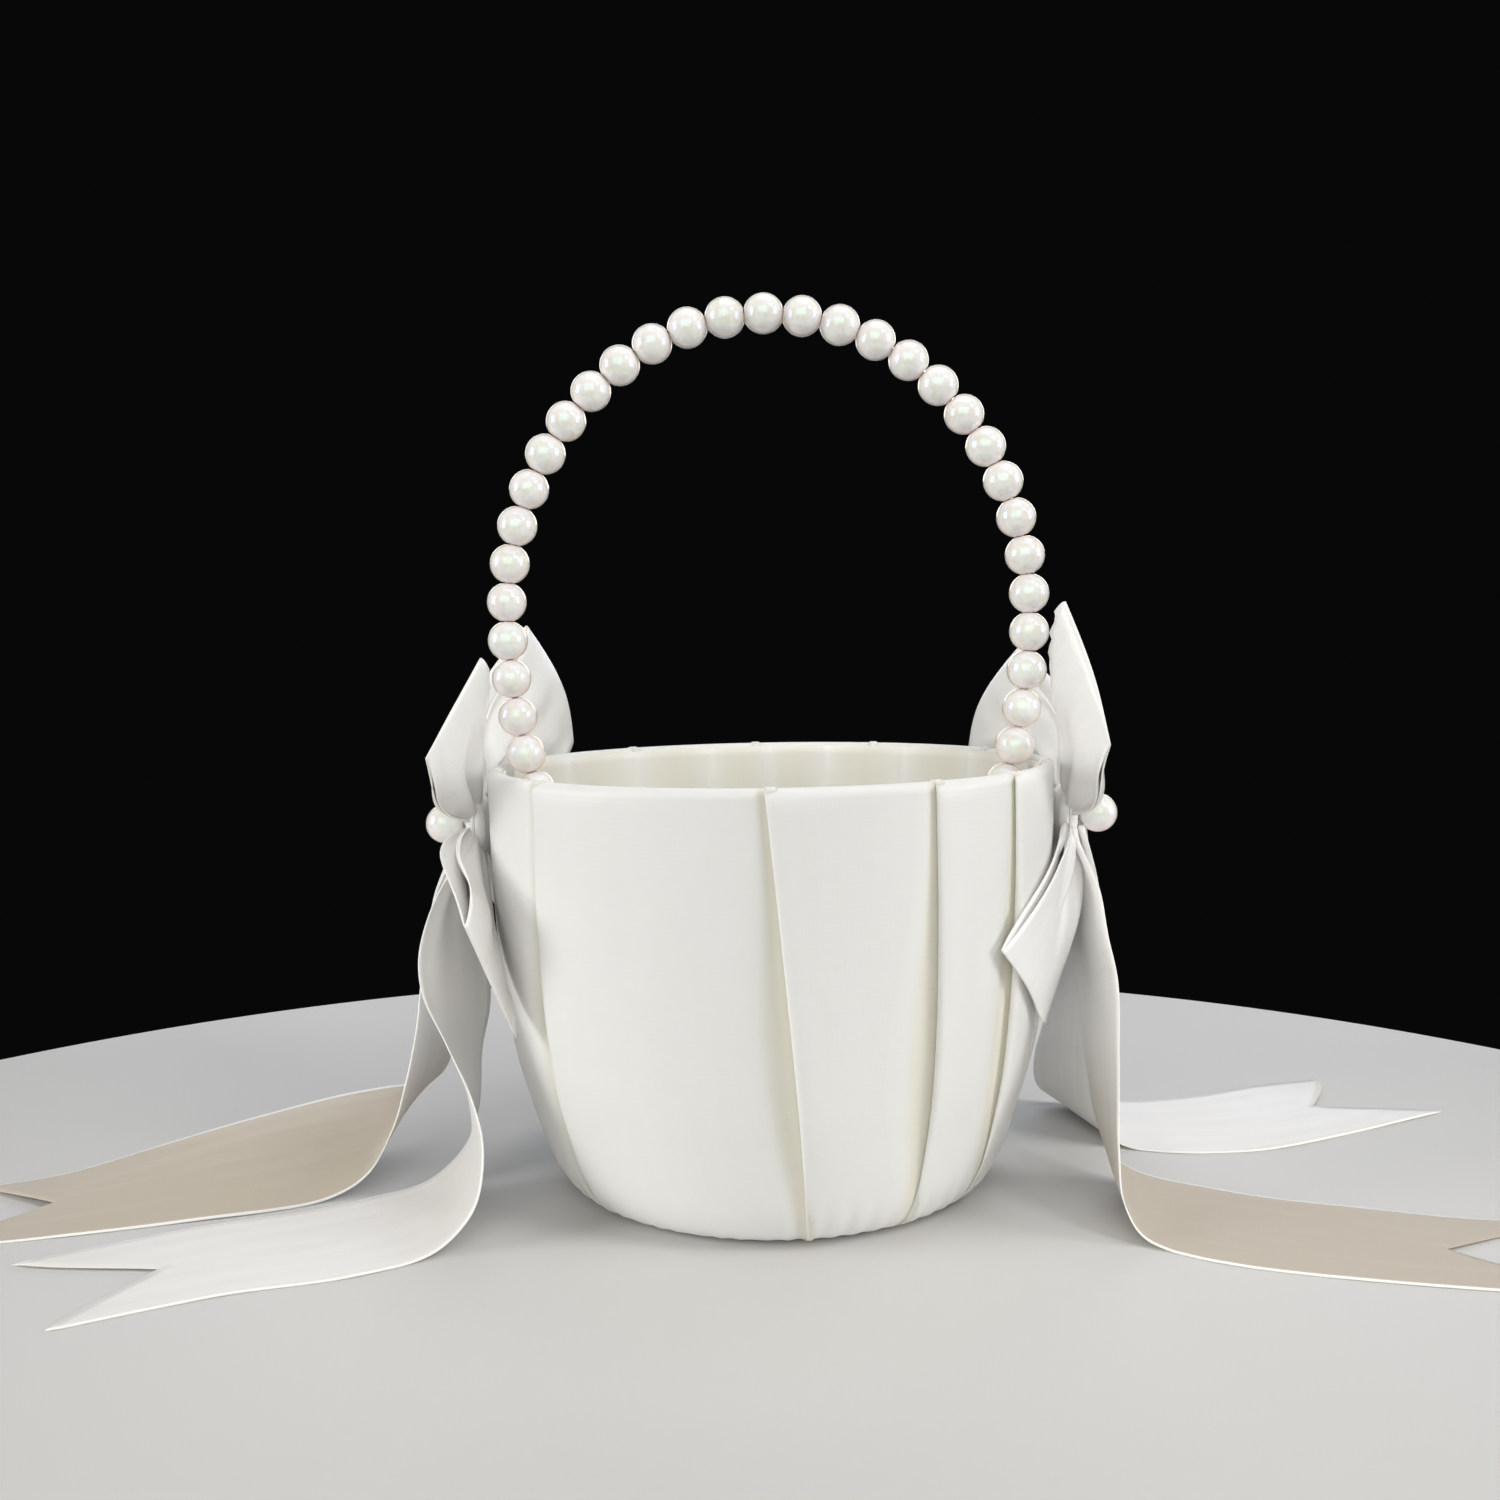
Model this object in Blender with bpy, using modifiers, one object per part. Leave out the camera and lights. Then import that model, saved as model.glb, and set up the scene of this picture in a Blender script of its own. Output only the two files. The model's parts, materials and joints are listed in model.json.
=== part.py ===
"""Flower girl basket: a satin-covered card tub, a pearl handle on wire, and a ribbon bow on each side.

Metres, +Z up. The origin is the centre of the base, on the plane the basket stands on. +X runs
through the two bows. The handle's wire turns outwards near the rim, goes through the wall and the
bow's knot, and ends in a pearl. Its two ends are the axle on which the handle tips forwards and back.
"""

import math

import bpy
from mathutils import Matrix, Vector

MM = 0.001

# Tub
RIM_R = 67.3 * MM
RIM_Z = 101.5 * MM
TUB_STEPS = 40
GAP = 0.3 * MM
SATIN_T = 0.6 * MM
CARD_T = 1.0 * MM
# Outer side of the cover below the rim, as (radius, height), from the underside up
SIDE = [
    (45.4, 1.3), (49.9, 3.0), (53.1, 6.5), (56.1, 12.0),
    (59.1, 22.0), (62.1, 35.0), (64.7, 54.0), (66.5, 78.0),
]
TURN_UNDER_R = 30.0 * MM
BASE_R = 43.0 * MM
BASE_T = 1.0 * MM
FLOOR_Z = 5.2 * MM
FLOOR_R = 44.0 * MM
FLOOR_T = 1.2 * MM
CARD_BASE_R = 46.3 * MM
FOOT_LIFT = 0.4 * MM

# Handle: a half ellipse above ARCH_Z and two legs below it that draw in as a parabola
ARCH_A = 63.5 * MM
ARCH_B = 71.8 * MM
ARCH_Z = 137.2 * MM
LEG_DRAW = 3.475
AXLE_Z = 87.5 * MM
LEG_END_Z = 90.0 * MM
WIRE_R = 0.75 * MM
WIRE_HOLE_R = 1.3 * MM
WIRE_SPACING = 5.0 * MM
# How each end of the wire turns from its leg to the axle, as (x, z) steps in mm
WIRE_TURN = [(-0.5, -1.5), (0.2, -2.3), (2.0, -2.5)]

# Pearls
PEARL_R = 4.85 * MM
PEARL_FLAT = 4.45 * MM
PEARL_BORE_R = 1.1 * MM
PEARL_PITCH = 9.3 * MM
PEARLS = 33
PEARL_STEPS = 10
PEARL_ARC = 5
KNOT_PEARL_X = 80.0 * MM

# Bows
KNOT_R = 7.0 * MM
KNOT_IN_X = 68.4 * MM
KNOT_OUT_X = 75.2 * MM
KNOT_EDGE = 1.0 * MM
KNOT_STEPS = 16
RIBBON_T = 0.7 * MM
LOOP_T = 5.0 * MM
NOTCH = 25.0 * MM

# Each loop of a bow: the middle line in mm, from knot to tip, and the width across it at each of its points
LOOP_WIDTHS = (8, 27, 34, 30, 14)
LOOPS = {
    "bow_left_upper_front_loop": [
        (-72, -7.5, 92.5), (-75, -14, 101), (-76, -20, 110), (-74, -27, 119), (-70, -34, 127),
    ],
    "bow_left_upper_rear_loop": [
        (-72, 7.5, 92.5), (-75, 16, 101), (-75, 25, 111), (-71, 34, 122), (-65, 41, 133),
    ],
    "bow_left_lower_front_loop": [
        (-70.8, -8.3, 83.6), (-71, -17, 76), (-70, -25, 67), (-67, -33, 57), (-61, -41, 47),
    ],
    "bow_left_lower_rear_loop": [
        (-70.8, 8.3, 83.6), (-71, 17, 76), (-70, 25, 67), (-67, 33, 57), (-61, 41, 47),
    ],
    "bow_right_upper_front_loop": [
        (72, -7.5, 92.5), (76, -13, 103), (77, -18, 114), (75, -25, 126), (70, -31, 138),
    ],
    "bow_right_upper_rear_loop": [
        (72, 7.5, 92.5), (75, 16, 100), (75, 25, 108), (71, 34, 117), (65, 42, 125),
    ],
    "bow_right_lower_front_loop": [
        (70.8, -8.3, 83.6), (71, -17, 76), (70, -25, 67), (67, -34, 58), (59, -42, 50),
    ],
    "bow_right_lower_rear_loop": [
        (70.8, 8.3, 83.6), (71, 17, 76), (70, 25, 67), (67, 33, 57), (61, 41, 47),
    ],
}

# Each tail: where its front edge and its rear edge run, in mm, from under the knot to the notched end
TAILS = {
    "bow_left_front_tail": [
        ((-74.2, -7, 79.4), (-74.2, 3, 79.0)),
        ((-80, -15, 71), (-75, 8, 66)),
        ((-82, -24, 61), (-72.5, 10, 54)),
        ((-80, -30, 52), (-71.5, 6, 42)),
        ((-74, -35, 42), (-73, 1, 31)),
        ((-68, -39, 31), (-73, -4, 20)),
        ((-65, -43, 21), (-75, -8, 12)),
        ((-66, -47, 11), (-79, -12, 7)),
        ((-71, -50, 4), (-85, -16, 3.5)),
        ((-79, -55, 0.7), (-95, -21, 2.2)),
        ((-92, -62, 0.7), (-110, -29, 2.0)),
        ((-115, -69, 0.7), (-132, -36, 1.8)),
        ((-143, -83, 0.7), (-165, -52, 0.8)),
    ],
    "bow_left_rear_tail": [
        ((-77.4, -4, 79.0), (-77.4, 7, 79.4)),
        ((-83.5, 1, 69), (-83, 22, 66)),
        ((-86, 2, 58), (-85.5, 34, 52)),
        ((-87, -2, 48), (-86, 34, 40)),
        ((-88, -5, 37), (-86, 31, 29)),
        ((-90, -8, 26), (-87, 29, 21)),
        ((-93, -11, 15), (-90, 26, 17)),
        ((-98, -15, 6), (-94, 20, 17)),
        ((-106, -19, 1.5), (-101, 14, 18)),
        ((-119, -25, 0.7), (-112, 8, 17.5)),
        ((-139, -31, 0.7), (-132, 2, 14)),
        ((-160, -37, 0.7), (-156, -1, 8)),
        ((-178, -41, 0.7), (-175, -4, 3)),
        ((-196, -44, 0.7), (-194, -6, 0.8)),
    ],
    "bow_right_front_tail": [
        ((74.2, -7, 79.4), (74.2, 3, 79.0)),
        ((77, -15, 71), (76, 6, 67)),
        ((77, -24, 61), (75.5, 9, 55)),
        ((77.3, -31, 52), (76, 4, 43)),
        ((76.2, -36, 40), (76.5, 0, 31)),
        ((75, -41, 28), (77, -5, 19)),
        ((74, -45, 18), (78, -9, 12)),
        ((74, -49, 9), (80, -12, 7)),
        ((77, -52, 3), (85, -15, 3.5)),
        ((83, -56, 0.7), (94, -20, 2.2)),
        ((94, -63, 0.7), (108, -28, 2.0)),
        ((114, -70, 0.7), (127, -35, 1.8)),
        ((138, -76, 0.7), (147, -40, 1.2)),
        ((162, -80, 0.7), (167, -43, 0.8)),
    ],
    "bow_right_rear_tail": [
        ((77.4, -4, 79.0), (77.4, 7, 79.4)),
        ((80.5, 0, 69), (80, 22, 66)),
        ((81, 1, 58), (79, 35, 52)),
        ((81, 3, 46), (77, 39, 37)),
        ((81, 5, 34), (75, 41, 25)),
        ((81, 7, 22), (73, 43, 16)),
        ((82, 9, 11), (73, 45, 8)),
        ((85, 9, 3.5), (77, 46, 3)),
        ((92, 6, 0.7), (87, 43, 2.0)),
        ((105, 3, 0.7), (101, 40, 2.5)),
        ((126, 5, 0.7), (118, 42, 3.0)),
        ((151, 16, 0.7), (135, 50, 2.5)),
        ((181, 31, 0.7), (159, 62, 0.8)),
    ],
}

# Colours, linear
IVORY_SATIN = (0.86, 0.84, 0.78)
WARM_SATIN = (0.84, 0.80, 0.71)
CARD_GREY = (0.60, 0.57, 0.50)
PEARL_IVORY = (0.88, 0.85, 0.79)
WIRE_STEEL = (0.62, 0.61, 0.58)
FELT_WHITE = (0.78, 0.77, 0.73)


def clear_scene():
    for item in list(bpy.data.objects):
        bpy.data.objects.remove(item, do_unlink=True)


def collection(name):
    group = bpy.data.collections.new(name)
    bpy.context.scene.collection.children.link(group)
    return group


def material(name, colour, roughness, metallic=0.0):
    made = bpy.data.materials.new(name)
    made.use_nodes = True
    shader = made.node_tree.nodes["Principled BSDF"]
    shader.inputs["Base Color"].default_value = (*colour, 1.0)
    shader.inputs["Roughness"].default_value = roughness
    shader.inputs["Metallic"].default_value = metallic
    return made


def add(group, name, data, finish):
    """One named object with its material, in its collection."""
    item = bpy.data.objects.new(name, data)
    if not data.materials:
        data.materials.append(finish)
    group.objects.link(item)
    return item


def screw(item, steps):
    turn = item.modifiers.new("turn", "SCREW")
    turn.axis = "Z"
    turn.steps = steps
    turn.render_steps = steps
    turn.use_merge_vertices = True
    turn.merge_threshold = 0.00001
    turn.use_smooth_shade = True


def turned(group, name, profile, finish, steps, closed):
    """A profile in the XZ plane turned about Z. It runs down its outer side, from the top to the bottom."""
    mesh = bpy.data.meshes.new(name)
    count = len(profile)
    edges = [(i, i + 1) for i in range(count - 1)]
    if closed:
        edges.append((count - 1, 0))
    mesh.from_pydata([(r, 0.0, z) for r, z in profile], edges, [])
    item = add(group, name, mesh, finish)
    screw(item, steps)
    return item


def side_radius(height, inset):
    """The tub's radius at a height, drawn in from the cover's outer side by inset."""
    points = [(r * MM, z * MM) for r, z in SIDE] + [(RIM_R, RIM_Z)]
    for (r0, z0), (r1, z1) in zip(points, points[1:]):
        if height <= z1:
            return r0 + (r1 - r0) * (height - z0) / (z1 - z0) - inset
    return RIM_R - inset


def wall_line(inset, low, high):
    """(radius, height) points up the side between two heights, drawn in by inset."""
    heights = [low] + [z * MM for _, z in SIDE if low < z * MM < high] + [high]
    return [(side_radius(z, inset), z) for z in heights]


def wire_holes(group, cutters, target):
    """Cuts the two holes that the handle's wire goes through."""
    cutter = bpy.data.objects.get("wire_hole_cutter")
    if cutter is None:
        bpy.ops.mesh.primitive_cylinder_add(vertices=12, radius=WIRE_HOLE_R, depth=3 * RIM_R)
        cutter = bpy.context.object
        cutter.name = "wire_hole_cutter"
        cutter.rotation_euler = (0.0, math.pi / 2, 0.0)
        cutter.location = (0.0, 0.0, AXLE_Z)
        cutter.hide_render = True
        cutter.display_type = "WIRE"
        for home in list(cutter.users_collection):
            home.objects.unlink(cutter)
        cutters.objects.link(cutter)
    cut = target.modifiers.new("wire_holes", "BOOLEAN")
    cut.operation = "DIFFERENCE"
    cut.object = cutter


def make_tub(group, cutters, satin, lining, card, felt):
    # Cover: under the base, up the side, over the rim
    lip_in = SATIN_T + CARD_T + SATIN_T + 2 * GAP
    outer = wall_line(0.0, SIDE[0][1] * MM, RIM_Z)[::-1]
    inner = wall_line(SATIN_T, SIDE[0][1] * MM + SATIN_T, RIM_Z - SATIN_T)
    underside = [(TURN_UNDER_R, SIDE[0][1] * MM), (TURN_UNDER_R, SIDE[0][1] * MM + SATIN_T)]
    lip = [(RIM_R - lip_in, RIM_Z - SATIN_T), (RIM_R - lip_in, RIM_Z)]
    cover = turned(group, "outer_cover", outer + underside + inner + lip, satin, TUB_STEPS, True)

    # Card tub: a moulded wall that turns in at its foot, and a disc of card inside that foot
    inset = SATIN_T + GAP
    low = SIDE[0][1] * MM + SATIN_T + GAP
    top = RIM_Z - SATIN_T - GAP
    foot = low + FOOT_LIFT
    outer = wall_line(inset, foot, top)[::-1]
    inner = wall_line(inset + CARD_T, foot, top)
    wall = turned(group, "card_wall", outer + inner, card, TUB_STEPS, True)
    disc(group, "card_base", CARD_BASE_R, low, CARD_T, card)

    # Liner: satin inside the wall, turned in under the floor board
    inset += CARD_T + GAP
    low += CARD_T + GAP
    outer = wall_line(inset, low, top)[::-1]
    inner = wall_line(inset + SATIN_T, low + SATIN_T, top)
    turn_in = [(TURN_UNDER_R, low), (TURN_UNDER_R, low + SATIN_T)]
    liner = turned(group, "inner_liner", outer + turn_in + inner, lining, TUB_STEPS, True)

    for target in (cover, wall, liner):
        wire_holes(group, cutters, target)

    disc(group, "floor_board", FLOOR_R, FLOOR_Z, FLOOR_T, lining)
    disc(group, "base_pad", BASE_R, 0.0, BASE_T, felt)


def disc(group, name, radius, low, thick, finish):
    profile = [(0.0, low + thick), (radius, low + thick), (radius, low), (0.0, low)]
    return turned(group, name, profile, finish, TUB_STEPS, False)


def arch_point(angle):
    return Vector((ARCH_A * math.cos(angle), 0.0, ARCH_Z + ARCH_B * math.sin(angle)))


def leg_x(height):
    return ARCH_A - LEG_DRAW * (ARCH_Z - height) ** 2


def handle_half():
    """Points from the top of the arch down the +X leg to where the wire starts to turn outwards."""
    arch_points, leg_points = 240, 80
    arch = [arch_point(math.pi / 2 * (1 - i / arch_points)) for i in range(arch_points + 1)]
    drop = (ARCH_Z - LEG_END_Z) / leg_points
    heights = [ARCH_Z - drop * i for i in range(1, leg_points + 1)]
    return arch + [Vector((leg_x(z), 0.0, z)) for z in heights]


def at_length(points, length):
    """The point at a length along a line of points, and the direction there."""
    gone = 0.0
    for a, b in zip(points, points[1:]):
        step = (b - a).length
        if gone + step >= length:
            return a.lerp(b, (length - gone) / step), (b - a).normalized()
        gone += step
    return points[-1].copy(), (points[-1] - points[-2]).normalized()


def make_wire(group, finish):
    half = handle_half()
    whole = sum((b - a).length for a, b in zip(half, half[1:]))
    count = int(whole / WIRE_SPACING)
    side = [at_length(half, whole * i / count)[0] for i in range(count + 1)]
    side += [side[-1] + Vector((x * MM, 0.0, z * MM)) for x, z in WIRE_TURN]
    side.append(Vector((KNOT_PEARL_X + PEARL_FLAT, 0.0, AXLE_Z)))
    mirrored = [Vector((-p.x, 0.0, p.z)) for p in side[:0:-1]]
    points = mirrored + side
    curve = bpy.data.curves.new("handle_wire", "CURVE")
    curve.dimensions = "3D"
    curve.bevel_depth = WIRE_R
    curve.bevel_resolution = 2
    curve.use_fill_caps = True
    spline = curve.splines.new("POLY")
    spline.points.add(len(points) - 1)
    for target, point in zip(spline.points, points):
        target.co = (*point, 1.0)
    add(group, "handle_wire", curve, finish)


def pearl_profile():
    """Half section of a drilled pearl on the Z axis, down its outside and up its bore."""
    end = math.asin(PEARL_FLAT / PEARL_R)
    angles = [end - 2 * end * i / PEARL_ARC for i in range(PEARL_ARC + 1)]
    outside = [(PEARL_R * math.cos(a), PEARL_R * math.sin(a)) for a in angles]
    return outside + [(PEARL_BORE_R, -PEARL_FLAT), (PEARL_BORE_R, PEARL_FLAT)]


def make_pearls(group, finish):
    first = turned(group, "knot_pearl_left", pearl_profile(), finish, PEARL_STEPS, True)
    half = handle_half()

    def place(name, at, along):
        if name == first.name:
            item = first
        else:
            item = add(group, name, first.data, finish)
            screw(item, PEARL_STEPS)
        item.location = at
        item.rotation_euler = along.to_track_quat("Z", "Y").to_euler()

    place("knot_pearl_left", Vector((-KNOT_PEARL_X, 0.0, AXLE_Z)), Vector((-1.0, 0.0, 0.0)))
    place("knot_pearl_right", Vector((KNOT_PEARL_X, 0.0, AXLE_Z)), Vector((1.0, 0.0, 0.0)))
    middle = PEARLS // 2
    for i in range(PEARLS):
        at, along = at_length(half, abs(i - middle) * PEARL_PITCH)
        if i < middle:
            at = Vector((-at.x, 0.0, at.z))
            along = Vector((along.x, 0.0, -along.z))
        place(f"pearl_{i + 1:02d}", at, along)


def smooth_between(rows, t):
    """A Catmull-Rom point through rows of vectors, at t from 0 to the last row's number."""
    i = min(int(t), len(rows) - 2)
    f = t - i
    a = rows[max(i - 1, 0)]
    b, c = rows[i], rows[i + 1]
    d = rows[min(i + 2, len(rows) - 1)]
    square = (2 * a - 5 * b + 4 * c - d) * f * f
    cube = (3 * b - a - 3 * c + d) * f ** 3
    return 0.5 * (2 * b + (c - a) * f + square + cube)


def strip(group, name, rows, columns, thick, finish):
    """A sheet through rows of points, given its thickness about its middle."""
    mesh = bpy.data.meshes.new(name)
    points = [p for row in rows for p in row]
    faces = []
    for r in range(len(rows) - 1):
        for c in range(columns):
            at = r * (columns + 1) + c
            faces.append((at, at + 1, at + columns + 2, at + columns + 1))
    mesh.from_pydata(points, [], faces)
    item = add(group, name, mesh, finish)
    solid = item.modifiers.new("thickness", "SOLIDIFY")
    solid.thickness = thick
    solid.offset = 0.0
    solid.use_even_offset = False
    return item


def make_tails(group, finish):
    columns = 4
    for name, edges in TAILS.items():
        front = [Vector(f) * MM for f, _ in edges]
        rear = [Vector(r) * MM for _, r in edges]
        last = len(edges) - 1
        steps = 2 * last
        middle = [(f + r) / 2 for f, r in zip(front, rear)]
        end_run = (middle[-1] - middle[-2]).length
        cut = NOTCH / end_run
        rows = []
        for s in range(steps + 1):
            row = []
            for c in range(columns + 1):
                u = 2 * c / columns - 1
                reach = last - cut * (1 - abs(u)) * (s / steps) ** 3
                t = reach * s / steps
                a = smooth_between(front, t)
                b = smooth_between(rear, t)
                row.append(a.lerp(b, c / columns))
            rows.append(row)
        strip(group, name, rows, columns, RIBBON_T, finish)


def make_loops(group, finish):
    columns, steps = 2, 8
    for name, line in LOOPS.items():
        middle = [Vector(p) * MM for p in line]
        last = len(middle) - 1
        outwards = Vector((math.copysign(1.0, middle[0].x), 0.0, 0.0))
        widths = [Vector((w, 0.0, 0.0)) * MM for w in LOOP_WIDTHS]
        rows = []
        for s in range(steps + 1):
            t = last * s / steps
            at = smooth_between(middle, t)
            ahead = smooth_between(middle, min(t + 0.1, last)) - smooth_between(middle, max(t - 0.1, 0))
            across = ahead.cross(outwards).normalized()
            half = smooth_between(widths, t).x / 2
            rows.append([at + across * half * (2 * c / columns - 1) for c in range(columns + 1)])
        strip(group, name, rows, columns, LOOP_T, finish)


def make_knots(group, finish):
    """The turn of ribbon round each bow's middle, with a hole for the wire."""
    profile = [
        (KNOT_R - KNOT_EDGE, KNOT_OUT_X),
        (KNOT_R, KNOT_OUT_X - KNOT_EDGE),
        (KNOT_R, KNOT_IN_X + KNOT_EDGE),
        (KNOT_R - KNOT_EDGE, KNOT_IN_X),
        (WIRE_HOLE_R, KNOT_IN_X),
        (WIRE_HOLE_R, KNOT_OUT_X),
    ]
    for name, side in (("knot_wrap_left", -1.0), ("knot_wrap_right", 1.0)):
        item = turned(group, name, profile, finish, KNOT_STEPS, True)
        item.location = (0.0, 0.0, AXLE_Z)
        item.rotation_euler = Matrix.Rotation(side * math.pi / 2, 3, "Y").to_euler()


def main():
    clear_scene()
    basket = collection("flower_girl_basket")
    cutters = collection("cutters")
    satin = material("ivory_satin", IVORY_SATIN, 0.45)
    lining = material("lining_satin", WARM_SATIN, 0.50)
    card = material("card", CARD_GREY, 0.85)
    felt = material("base_felt", FELT_WHITE, 0.95)
    pearl = material("faux_pearl", PEARL_IVORY, 0.20)
    steel = material("wire_steel", WIRE_STEEL, 0.35, 1.0)
    make_tub(basket, cutters, satin, lining, card, felt)
    make_wire(basket, steel)
    make_pearls(basket, pearl)
    make_knots(basket, satin)
    make_loops(basket, satin)
    make_tails(basket, satin)


main()
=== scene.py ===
import json
import math

import bpy
from mathutils import Matrix, Vector, noise


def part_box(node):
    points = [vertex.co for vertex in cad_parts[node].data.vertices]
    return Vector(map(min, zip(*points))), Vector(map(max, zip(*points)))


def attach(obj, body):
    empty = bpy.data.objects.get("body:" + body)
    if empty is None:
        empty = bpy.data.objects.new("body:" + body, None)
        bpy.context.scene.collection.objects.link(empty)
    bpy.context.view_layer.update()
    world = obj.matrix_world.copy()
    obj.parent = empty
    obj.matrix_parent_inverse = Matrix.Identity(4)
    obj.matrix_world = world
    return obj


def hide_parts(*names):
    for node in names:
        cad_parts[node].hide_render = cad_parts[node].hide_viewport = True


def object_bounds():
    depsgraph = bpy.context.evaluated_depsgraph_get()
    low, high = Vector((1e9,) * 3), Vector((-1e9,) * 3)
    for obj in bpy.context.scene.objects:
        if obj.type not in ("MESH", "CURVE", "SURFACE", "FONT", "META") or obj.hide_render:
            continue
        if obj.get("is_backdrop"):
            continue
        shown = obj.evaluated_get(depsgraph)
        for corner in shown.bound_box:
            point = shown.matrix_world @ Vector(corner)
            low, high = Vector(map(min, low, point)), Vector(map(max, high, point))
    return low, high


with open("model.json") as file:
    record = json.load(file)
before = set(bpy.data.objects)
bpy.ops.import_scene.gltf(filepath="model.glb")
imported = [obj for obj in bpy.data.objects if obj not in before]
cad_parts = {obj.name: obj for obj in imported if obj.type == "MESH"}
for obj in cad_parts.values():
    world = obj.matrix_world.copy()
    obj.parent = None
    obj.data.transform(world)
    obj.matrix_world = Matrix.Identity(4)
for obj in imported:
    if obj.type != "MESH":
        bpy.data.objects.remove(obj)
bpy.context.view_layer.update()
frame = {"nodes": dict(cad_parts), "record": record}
MM = 0.001


# ---- Table, light and camera --------------------------------------------------------------------
# The basket stands on a round white laminate table in a dark room. A softbox hangs over it, a low
# wide window is behind it, soft fills stand at both sides and in front, and a small lamp on the
# right adds the highlights on the pearls.
table_radius = 0.317
table_thick = 0.018
table_middle = (-0.019, -0.107)
bpy.ops.mesh.primitive_cylinder_add(vertices=256, radius=table_radius, depth=table_thick)
table = bpy.context.object
table.name = "table_top"
table.data.transform(Matrix.Translation((*table_middle, -table_thick / 2)))
table.data.shade_smooth()
table.data.set_sharp_from_angle(angle=math.radians(40))
edge = table.modifiers.new("rounded_edge", "BEVEL")
edge.width = 2 * MM
edge.segments = 3
table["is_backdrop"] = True


def linear(code):
    """An sRGB hex colour as linear RGBA."""
    shares = [int(code[i:i + 2], 16) / 255 for i in (1, 3, 5)]
    return (*[s / 12.92 if s <= 0.04045 else ((s + 0.055) / 1.055) ** 2.4 for s in shares], 1.0)


def add_node(tree, kind, inputs=None, **settings):
    """Adds a node, sets its properties, and fills its inputs with values or links."""
    made = tree.nodes.new(kind)
    for name, value in settings.items():
        setattr(made, name, value)
    for name, value in (inputs or {}).items():
        if isinstance(value, bpy.types.NodeSocket):
            tree.links.new(value, made.inputs[name])
        else:
            made.inputs[name].default_value = value
    return made


def new_material(name, **sockets):
    """A material with one Principled shader. A socket's name is written with _ for each space."""
    made = bpy.data.materials.new(name)
    made.use_nodes = True
    tree = made.node_tree
    shader = tree.nodes["Principled BSDF"]
    for key, value in sockets.items():
        shader.inputs[key.replace("_", " ").title().replace("Ior", "IOR")].default_value = value
    return made, tree, shader


# White melamine laminate, pressed: an even pale grey with a very faint low gloss
laminate, tree, shader = new_material("white_melamine_laminate", roughness=0.6, ior=1.4)
place = add_node(tree, "ShaderNodeTexCoord").outputs["Object"]
cloud = add_node(tree, "ShaderNodeTexNoise", {"Vector": place, "Scale": 9.0, "Detail": 3.0})
tone = add_node(tree, "ShaderNodeValToRGB", {"Fac": cloud.outputs["Fac"]})
tone.color_ramp.elements[0].color = linear("#D1D0CE")
tone.color_ramp.elements[1].color = linear("#D6D5D3")
tree.links.new(tone.outputs["Color"], shader.inputs["Base Color"])
table.data.materials.append(laminate)

lamps = {
    # name: (place, what it faces, width, height, watts, colour)
    "overhead_softbox": ((0.08, -0.02, 0.80), (0.0, 0.0, 0.08), 0.55, 0.55, 2.1, "#FFFDFA"),
    "back_window": ((0.05, 1.10, 0.48), (0.0, 0.0, 0.05), 1.6, 0.4, 5.0, "#E9F1FF"),
    "left_fill": ((-1.05, -0.25, 0.35), (0.0, 0.0, 0.09), 0.45, 0.6, 6.4, "#FFFEFC"),
    "right_fill": ((1.05, -0.25, 0.35), (0.0, 0.0, 0.09), 0.45, 0.6, 5.4, "#FFFEFC"),
    "front_fill": ((-0.16, -1.24, 0.55), (0.0, 0.0, 0.08), 1.3, 0.9, 9.0, "#FFFEFC"),
    "right_lamp": ((0.55, -0.45, 0.75), (0.0, 0.0, 0.10), 0.22, 0.22, 1.8, "#FFFFFF"),
}
for name, (spot, target, width, height, watts, colour) in lamps.items():
    data = bpy.data.lights.new(name, "AREA")
    data.shape = "RECTANGLE"
    data.size = width
    data.size_y = height
    data.energy = watts
    data.color = linear(colour)[:3]
    lamp = bpy.data.objects.new(name, data)
    lamp.location = spot
    lamp.rotation_euler = (Vector(target) - Vector(spot)).to_track_quat("-Z", "Y").to_euler()
    lamp.visible_camera = False
    bpy.context.scene.collection.objects.link(lamp)

room = bpy.data.worlds.new("dark_room")
room.use_nodes = True
room.node_tree.nodes["Background"].inputs["Color"].default_value = linear("#080808")
bpy.context.scene.world = room
bpy.context.scene.view_settings.view_transform = "Standard"

# The lens is a hand above the table top. The camera looks down a little and leans by one degree.
camera_place = (-0.005, -0.355, 0.1305)
pitch, roll = math.radians(4.22), math.radians(1.0)
ahead = Vector((0.0, math.cos(pitch), -math.sin(pitch)))
level_up = Vector((0.0, math.sin(pitch), math.cos(pitch)))
level_side = Vector((1.0, 0.0, 0.0))
right = level_side * math.cos(roll) - level_up * math.sin(roll)
above = level_side * math.sin(roll) + level_up * math.cos(roll)
lens = bpy.data.cameras.new("camera")
lens.sensor_width = 36.0
lens.lens = 34.92
lens.clip_start = 0.01
camera = bpy.data.objects.new("camera", lens)
turn = Matrix((right, above, -ahead)).transposed().to_4x4()
camera.matrix_world = Matrix.Translation(camera_place) @ turn
bpy.context.scene.collection.objects.link(camera)
bpy.context.scene.camera = camera


# ---- Card tub and base pad ----------------------------------------------------------------------
# The tub is moulded grey board: a wall, and a disc glued in at its foot. It carries the satin and
# is hidden between the cover and the liner. A disc of white felt is glued on below.
def paint(node_name, finish):
    """Gives a CAD node its material."""
    mesh = frame["nodes"][node_name].data
    mesh.materials.clear()
    mesh.materials.append(finish)


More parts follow.
